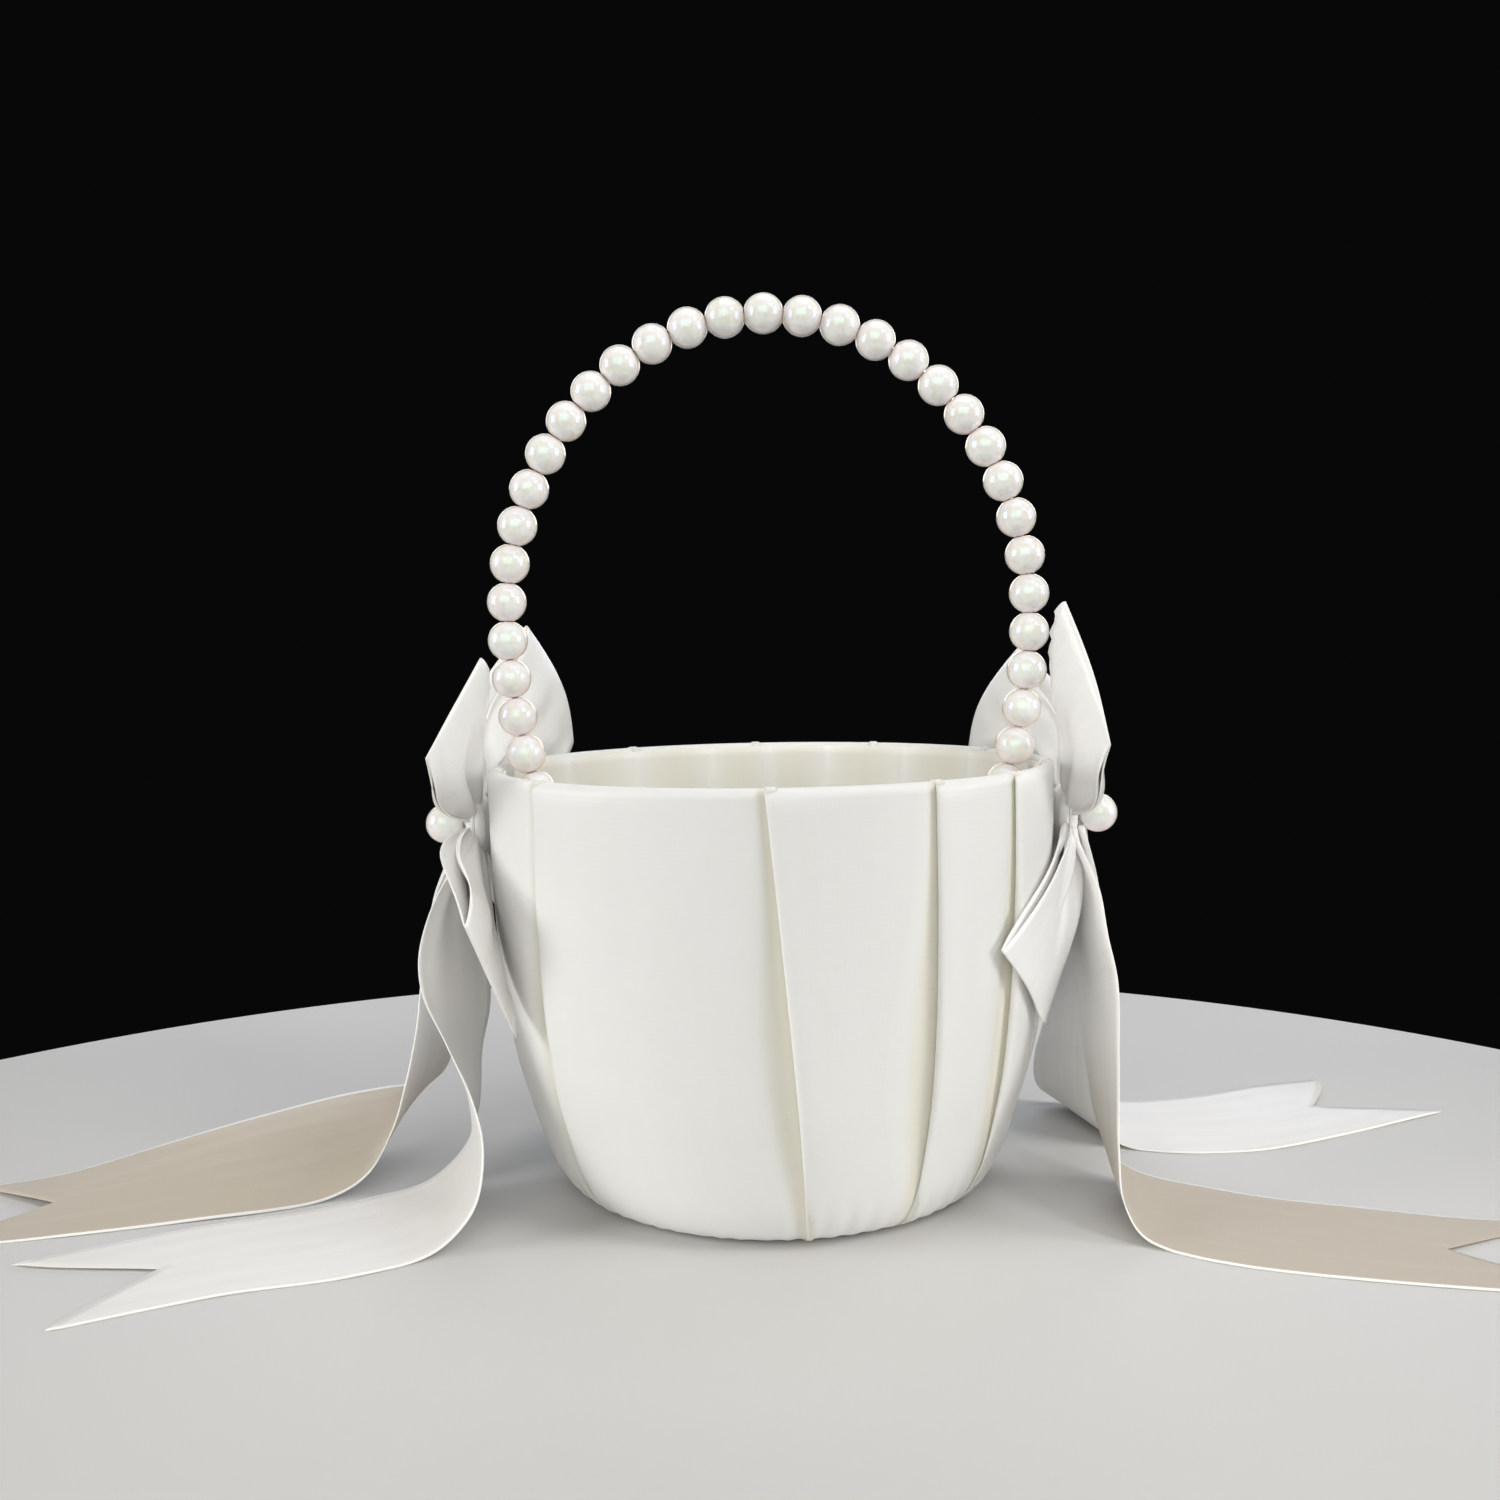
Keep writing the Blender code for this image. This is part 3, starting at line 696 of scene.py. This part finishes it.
# Pearl lacquer, dipped in many thin coats: an ivory body under a clear gloss, with a cloudy,
# slightly uneven lustre and a faint pink or green cast that differs from bead to bead
lacquer, tree, shader = new_material(
    "ivory_pearl_lacquer", roughness=0.24, ior=1.6, specular_ior_level=0.8, coat_weight=0.6,
    coat_roughness=0.07, coat_ior=1.5, subsurface_weight=0.25, subsurface_radius=(1.0, 0.9, 0.8),
    subsurface_scale=2.0 * MM, sheen_weight=0.12, sheen_roughness=0.3)
shader.inputs["Thin Film Thickness"].default_value = 380.0
shader.inputs["Thin Film IOR"].default_value = 1.33
place = add_node(tree, "ShaderNodeTexCoord").outputs["Object"]
cloud = add_node(tree, "ShaderNodeTexNoise",
                 {"Vector": place, "Scale": 420.0, "Detail": 3.0, "Distortion": 0.8})
patch = add_node(tree, "ShaderNodeMapRange",
                 {"Value": cloud.outputs["Fac"], "From Min": 0.42, "From Max": 0.72})
body_tone = add_node(tree, "ShaderNodeMix",
                     {"Factor": patch.outputs["Result"], "A": linear("#FFFDF8"),
                      "B": linear("#F3EEE4")}, data_type="RGBA")
cast = add_node(tree, "ShaderNodeAttribute", attribute_name="tint")
casts = add_node(tree, "ShaderNodeValToRGB", {"Fac": cast.outputs["Fac"]})
casts.color_ramp.elements[0].color = linear("#FFF9F6")
casts.color_ramp.elements[1].color = linear("#FBFDF7")
colour = add_node(tree, "ShaderNodeMix",
                  {"Factor": 0.45, "A": body_tone.outputs["Result"], "B": casts.outputs["Color"]},
                  data_type="RGBA", blend_type="MULTIPLY")
rough = add_node(tree, "ShaderNodeMapRange",
                 {"Value": cloud.outputs["Fac"], "To Min": 0.11, "To Max": 0.24})
orange_peel = add_node(tree, "ShaderNodeBump",
                       {"Height": cloud.outputs["Fac"], "Strength": 0.10, "Distance": 0.15 * MM})
tree.links.new(colour.outputs["Result"], shader.inputs["Base Color"])
tree.links.new(rough.outputs["Result"], shader.inputs["Roughness"])
tree.links.new(orange_peel.outputs["Normal"], shader.inputs["Normal"])

mesh = bpy.data.meshes.new("pearl_places")
mesh.from_pydata(centres, [], [])
wire_way = mesh.attributes.new("along", "FLOAT_VECTOR", "POINT")
wire_way.data.foreach_set("vector", [x for d in directions for x in d])
pearls = run_tree(beads, "pearls", mesh, {
    "Radius": pearl_radius, "Flat": pearl_pitch / 2 - 0.03 * MM, "Hole Radius": 1.0 * MM, "Seed": 7,
    "Material": lacquer})
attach(pearls, "handle")
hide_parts(*pearl_names, *ends)


# ---- Bow knots ----------------------------------------------------------------------------------
# Each bow is pinched at its middle by a short turn of the same ribbon, creased along its length
# and pulled tight. The handle's wire goes through it.
ribbon_width = 38 * MM
ribbon_thick = 0.28 * MM
# Ribbon satin, woven from bright polyester: whiter, glossier and closer than the cover, with a woven
# edge. Its darker tone is painted shade where the tails lie on the table, mixed with the duller look of
# its reverse.
ribbon_satin = satin("ivory_ribbon_satin", "#FAF9F7", "#BFB5A6", 0.40, 0.30, sheer=0.10,
                     edge_width=0.9 * MM, cloth_width=ribbon_width)
# The ribbon that goes once round a knot, and half the knot's width
knot_turn = 0.04
knot_half_width = 6.2 * MM
for side_name, way in (("left", -1.0), ("right", 1.0)):
    low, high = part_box("knot_wrap_" + side_name)
    centre = (low + high) / 2
    half_x = (high.x - low.x) / 2 - 0.7 * MM
    half_z = (high.z - low.z) / 2 - 0.3 * MM
    turns, across = 56, 26
    rows, uvs = [], []
    for i in range(across + 1):
        v = 2 * i / across - 1
        shoulder = math.sqrt(max(1 - abs(v) ** 3.0, 0.0))
        row, flat = [], []
        for j in range(turns):
            a = math.tau * j / turns
            crease = 0.35 * MM * math.sin(4.5 * math.pi * v + 0.9 * math.sin(a)) * (1 - v * v)
            squash = 1 - 0.10 * math.cos(2 * a) * (1 - v * v)
            x = half_x * shoulder * math.cos(a) * squash + crease * math.cos(a)
            z = half_z * (0.45 + 0.55 * shoulder) * math.sin(a) + crease * math.sin(a)
            y = knot_half_width * v * (1 - 0.08 * math.sin(a) ** 2)
            row.append(centre + Vector((x * way, y, z)))
            flat.append((ribbon_width * i / across, knot_turn * j / turns))
        rows.append(row)
        uvs.append(flat + [(ribbon_width * i / across, knot_turn)])
    # The left knot is a mirror image, so its rows are turned round to face outwards again
    if way < 0:
        rows = [row[::-1] for row in rows]
    knot = cloth(f"bow_{side_name}_knot", rows, uvs, ribbon_satin, ribbon_thick, wraps=True)
    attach(knot, "basket")
    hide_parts("knot_wrap_" + side_name)


# ---- Bow loops ----------------------------------------------------------------------------------
# Each bow has four loops of 38 mm satin ribbon, two up and two down. A loop leaves the knot in
# tight gathers, opens to its full width, and doubles back on itself at its end.

# For each loop, in mm: where its end's two corners lie, how far its two layers stand apart, how far
# the whole loop bows inwards before its end, and how far its end does
loop_ends = {
    "bow_left_upper_front_loop": ((-66.0, -22.5, 128), (-74.5, -44, 107), 3.0, 0.5, 0.0),
    "bow_left_upper_rear_loop": ((-64, 34, 136), (-54, 48, 104), 3.0, 1.0, 3.0),
    "bow_left_lower_front_loop": ((-66, -51, 72), (-58, -38, 44), 2.4, 0.8, 0.0),
    "bow_left_lower_rear_loop": ((-67, 50, 72), (-61, 33, 43), 2.4, 0.0, 0.0),
    "bow_right_upper_front_loop": ((66.5, -25.5, 138.5), (73.5, -39, 107), 4.2, 1.4, -1.0),
    "bow_right_upper_rear_loop": ((66.5, 30, 128), (55.5, 46, 101), 3.0, 0.5, 3.0),
    "bow_right_lower_front_loop": ((48.0, -49, 64), (61.5, -27, 42), 2.2, 0.0, 0.0),
    "bow_right_lower_rear_loop": ((67, 50, 72), (61, 33, 43), 2.4, 0.0, 0.0),
}
# In mm: how far out and how high a bow's middle lies, how far from it a loop starts along the wall
# and up or down, and half the width that the ribbon is pinched to there
hub_out, hub_up = 71.8, 87.5
root_along, root_up = 5.0, 4.0
knot_half = 4.2
# The cover's crests, with the ribbon's own thickness
over_cover = 2.3 * MM
loop_steps, loop_columns = 60, 20


def wall_radius(height):
    """The tub's outer radius at a height."""
    stations = [(r * MM, z * MM) for r, z in side_line] + [(rim_radius, rim_z)]
    for (r0, z0), (r1, z1) in zip(stations, stations[1:]):
        if height <= z1:
            return r0 + (r1 - r0) * (height - z0) / (z1 - z0)
    return rim_radius


def rest_on_cover(point, gap):
    """Moves a point out to where ribbon can lie on the cover, a gap away from it. Above the rim the
    ribbon may lean in."""
    need = wall_radius(point.z) + over_cover + gap - 1.2 * max(point.z - rim_z, 0.0)
    reach = math.hypot(point.x, point.y)
    if reach >= need:
        return point
    return Vector((point.x * need / reach, point.y * need / reach, point.z))


tilt = frame["record"]["behaviour"]["joints"][0]
hinge_z = tilt["pos_m"][2]
tilt_limit = math.radians(tilt["range_deg"][1])
# The right half of the strand, as (height above the hinge, distance from the middle)
strand = sorted((c.z - hinge_z, c.x) for c in centres[:len(pearl_names)] if c.x > 0)
pearl_room = pearl_radius + 0.55 * MM


def clear_of_handle(point):
    """Moves a point out sideways, off the space that the pearls sweep as the handle tips. past is
    how far the point lies beyond the handle's limit, along the arc."""
    rise = point.z - hinge_z
    reach = math.hypot(point.y, rise)
    past = max(math.atan2(abs(point.y), rise) - tilt_limit, 0.0) * reach
    if rise <= 0 or past >= pearl_room:
        return point
    low, high = next((pair for pair in zip(strand, strand[1:]) if pair[1][0] >= reach), strand[-2:])
    share = max((reach - low[0]) / (high[0] - low[0]), 0.0)
    need = low[1] + (high[1] - low[1]) * share + math.sqrt(pearl_room ** 2 - past ** 2)
    return Vector((math.copysign(max(abs(point.x), need), point.x), point.y, point.z))


def loop_surface(corner_a, corner_b, apart, inwards, end_inwards):
    """A loop from the knot to its end and back: its rows of points, their places on the flat
    ribbon, and its mean length."""
    tip_a, tip_b = Vector(corner_a) * MM, Vector(corner_b) * MM
    way = math.copysign(1.0, tip_a.x)
    tip = (tip_a + tip_b) / 2
    hub = Vector((hub_out * way, 0.0, hub_up)) * MM
    along = (tip - hub).normalized()
    spread = (tip_b - tip_a).normalized()
    root = hub + Vector((0.0, root_along * math.copysign(1, tip.y),
                         root_up * math.copysign(1, tip.z - hub.z))) * MM
    root_a, root_b = root - spread * knot_half * MM, root + spread * knot_half * MM
    outward = Vector((way, 0.0, 0.0))
    rows, uvs = [], []
    run = [0.0] * (loop_columns + 1)
    for i in range(loop_steps + 1):
        # s runs from the knot (0) to the end (1) and back. layer is above 0 on the way out, which
        # is the outer layer, and below 0 on the way back.
        t = i / loop_steps
        s = (1 - math.cos(math.tau * t)) / 2
        layer = math.sin(math.tau * t)
        open_share = blend_step(0.0, 0.45, s)
        row, flat = [], []
        for j in range(loop_columns + 1):
            v = j / loop_columns
            across = (root_b - root_a).lerp(tip_b - tip_a, 1 - (1 - s) ** 2.2)
            point = root.lerp(tip, s) + across * (v - 0.5)
            # The two layers close up towards corner B, and lie fold in fold there
            closed = blend_step(0.55, 0.95, v) * blend_step(0.0, 0.25, s)
            shift = 1.3 * (1 - closed) if layer > 0 else 0.0
            # All heights in mm: tight gathers at the knot, then a broad and a fine ripple
            gather = 5.6 * (1 - s) ** 1.8 * s ** 0.4 * math.sin(5.0 * math.pi * v + shift)
            ripple = 0.5 * math.sin(2.2 * math.pi * v + 4.0 * s) * math.sin(math.pi * s)
            fine = 0.28 * math.sin(9.0 * math.pi * v + 2.0 * s)
            ripple += fine * math.sin(math.pi * s ** 0.7) * (1 - 0.6 * s)
            bulge = 1.4 * math.sin(math.pi * s ** 0.8) - inwards * 6.75 * s * s * (1 - s)
            bulge -= end_inwards * math.sin(math.pi * v) * s * s
            gap = apart * layer * (0.35 + 0.65 * open_share) * (1 - 0.55 * s ** 2)
            gap *= 1.0 if layer > 0 else 0.4 + 1.1 * blend_step(0.4, 0.8, s)
            gap *= 1 - 0.85 * closed
            point = point + outward * (bulge + gap + gather + ripple) * MM
            point = clear_of_handle(rest_on_cover(point, (0.8 + 0.8 * layer) * MM))
            if rows:
                run[j] += (point - rows[-1][j]).length
            row.append(point)
            flat.append((ribbon_width * v, run[j]))
        rows.append(row)
        uvs.append(flat)
    # The outer layer's face points outwards
    if way * (1 if spread.cross(along).x > 0 else -1) < 0:
        rows = [row[::-1] for row in rows]
    return rows, uvs, sum(run) / len(run)


for name, shape in loop_ends.items():
    rows, uvs, length = loop_surface(*shape)
    loop = cloth(name.replace("loop", "ribbon_loop"), rows, uvs, ribbon_satin, ribbon_thick,
                 centred=True)
    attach(loop, "basket")
    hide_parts(name)


# ---- Bow tails ----------------------------------------------------------------------------------
# Two tails of the same ribbon hang from each knot, reach the table and lie out along it. Their
# ends are cut to a deep notch.

# Where a tail's front edge and its rear edge run, in mm, from under the knot to the notched end
tail_edges = {
    "bow_left_front_tail": [
        ((-74.2, -7, 79.4), (-74.2, 3, 79.0)),
        ((-80, -15, 71), (-75, 8, 66)),
        ((-82, -24, 61), (-72.5, 10, 54)),
        ((-80, -30, 52), (-71.5, 6, 42)),
        ((-74, -35, 42), (-73, 1, 31)),
        ((-68, -39, 31), (-73, -4, 20)),
        ((-65, -43, 21), (-75, -8, 12)),
        ((-66, -47, 11), (-79, -12, 7)),
        ((-71, -50, 4), (-85, -16, 3.5)),
        ((-79, -55, 0.7), (-95, -21, 2.2)),
        ((-92, -62, 0.7), (-110, -29, 2.0)),
        ((-115, -69, 0.7), (-132, -36, 1.8)),
        ((-143, -83, 0.7), (-165, -52, 0.8)),
    ],
    "bow_left_rear_tail": [
        ((-77.4, -4, 79.0), (-77.4, 7, 79.4)),
        ((-83.5, 1, 69), (-83, 22, 66)),
        ((-86, 2, 58), (-85.5, 34, 52)),
        ((-87, -2, 48), (-86, 34, 40)),
        ((-88, -5, 37), (-86, 31, 29)),
        ((-90, -8, 26), (-87, 29, 21)),
        ((-93, -11, 15), (-90, 26, 17)),
        ((-98, -15, 6), (-94, 20, 17)),
        ((-106, -19, 1.5), (-101, 14, 18)),
        ((-119, -25, 0.7), (-112, 8, 17.5)),
        ((-139, -31, 0.7), (-132, 2, 14)),
        ((-160, -37, 0.7), (-156, -1, 8)),
        ((-178, -41, 0.7), (-175, -4, 3)),
        ((-196, -44, 0.7), (-194, -6, 0.8)),
    ],
    "bow_right_front_tail": [
        ((74.2, -7, 79.4), (74.2, 3, 79.0)),
        ((77, -15, 71), (76, 6, 67)),
        ((77, -24, 61), (75.5, 9, 55)),
        ((77.3, -31, 52), (76, 4, 43)),
        ((76.2, -36, 40), (76.5, 0, 31)),
        ((75, -41, 28), (77, -5, 19)),
        ((74, -45, 18), (78, -9, 12)),
        ((74, -49, 9), (80, -12, 7)),
        ((77, -52, 3), (85, -15, 3.5)),
        ((83, -56, 0.7), (94, -20, 2.2)),
        ((94, -63, 0.7), (108, -28, 2.0)),
        ((114, -70, 0.7), (127, -35, 1.8)),
        ((138, -76, 0.7), (147, -40, 1.2)),
        ((162, -80, 0.7), (167, -43, 0.8)),
    ],
    "bow_right_rear_tail": [
        ((77.4, -4, 79.0), (77.4, 7, 79.4)),
        ((80.5, 0, 69), (80, 22, 66)),
        ((81, 1, 58), (79, 35, 52)),
        ((81, 3, 46), (77, 39, 37)),
        ((81, 5, 34), (75, 41, 25)),
        ((81, 7, 22), (73, 43, 16)),
        ((82, 9, 11), (73, 45, 8)),
        ((85, 9, 3.5), (77, 46, 3)),
        ((92, 6, 0.7), (87, 43, 2.0)),
        ((105, 3, 0.7), (101, 40, 2.5)),
        ((126, 5, 0.7), (118, 42, 3.0)),
        ((151, 16, 0.7), (135, 50, 2.5)),
        ((181, 31, 0.7), (159, 62, 0.8)),
    ],
}
# How much painted shade each tail gets where it lies on the table, from 0 to 1, most on the two that
# show the ribbon's duller reverse
reverse_and_shade = {
    "bow_left_front_tail": 0.28, "bow_left_rear_tail": 1.0,
    "bow_right_front_tail": 1.0, "bow_right_rear_tail": 0.25,
}
notch_depth = 25 * MM
# Under the knot a tail's start is tucked up into it and drawn in towards the wall
tuck = 6.0 * MM
lean = 1.6 * MM
# How high a tail's rows lie: the lowest above the table, and how far all are let down
table_gap, settle = 0.25 * MM, 0.4 * MM
tail_steps, tail_columns = 84, 18


def tail_surface(edges, reverse_shade_share, seed):
    """A tail from the knot to its notched end: its rows of points, their places on the flat ribbon, each
    point's share of painted shade, and the length of its front edge. The second argument is how much
    painted shade the tail gets where it lies on the table, more where the ribbon's reverse shows."""
    front = [Vector(f) * MM for f, _ in edges]
    rear = [Vector(r) * MM for _, r in edges]
    last = len(edges) - 1
    end_run = ((front[-1] + rear[-1]) / 2 - (front[-2] + rear[-2]) / 2).length
    rows, uvs, shade_shares = [], [], []
    run = [0.0] * (tail_columns + 1)
    for i in range(tail_steps + 1):
        row, flat, lying_shade = [], [], []
        for j in range(tail_columns + 1):
            v = j / tail_columns
            u = 2 * v - 1
            # The middle stops short of the two edges, which gives the notch
            reach = last - notch_depth / end_run * (1 - abs(u)) * (i / tail_steps) ** 3
            t = reach * i / tail_steps
            a, b = smooth_along(front, t), smooth_along(rear, t)
            ahead_t = min(t + 0.05, last)
            step = smooth_along(front, ahead_t) + smooth_along(rear, ahead_t) - a - b
            face = (b - a).cross(step).normalized() if step.length else Vector((0, 0, 1))
            # It is bowed across where it hangs, gathered at the knot, and uneven all along
            fall = blend_step(4 * MM, 30 * MM, (a.z + b.z) / 2)
            near_knot = math.exp(-t / 1.1)
            curl = 1.6 * (1 - u * u) * fall * (1 - near_knot)
            gather = 1.3 * near_knot * math.sin(5 * math.pi * v)
            ripple = 0.35 * noise.noise(Vector((t * 0.9, v * 1.5, seed))) * (1 - near_knot)
            point = a.lerp(b, v) + face * (curl + gather + ripple) * MM
            point.z += tuck * near_knot ** 2
            point.x -= math.copysign(lean, point.x) * near_knot ** 2
            point.z = max(point.z - settle, table_gap)
            if rows:
                run[j] += (point - rows[-1][j]).length
            row.append(point)
            flat.append((ribbon_width * v, run[j]))
            # Painted shade: the darker tone where the tail lies on the table, fading out by 45 mm up
            lying_shade.append(reverse_shade_share * (1 - blend_step(4 * MM, 45 * MM, point.z)))
        rows.append(row)
        uvs.append(flat)
        shade_shares.append(lying_shade)
    return rows, uvs, shade_shares, run[0]


for name, edges in tail_edges.items():
    seed = len(name) + len(edges) - 1
    rows, uvs, shade_shares, length = tail_surface(edges, reverse_and_shade[name], seed)
    tail = cloth(name.replace("tail", "ribbon_tail"), rows, uvs, ribbon_satin, ribbon_thick,
                 shade_shares=shade_shares, centred=True)
    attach(tail, "basket")
    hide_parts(name)


# ---- Size of the finished basket ----------------------------------------------------------------
# The box round the finished pieces, the table left out.
low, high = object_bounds()
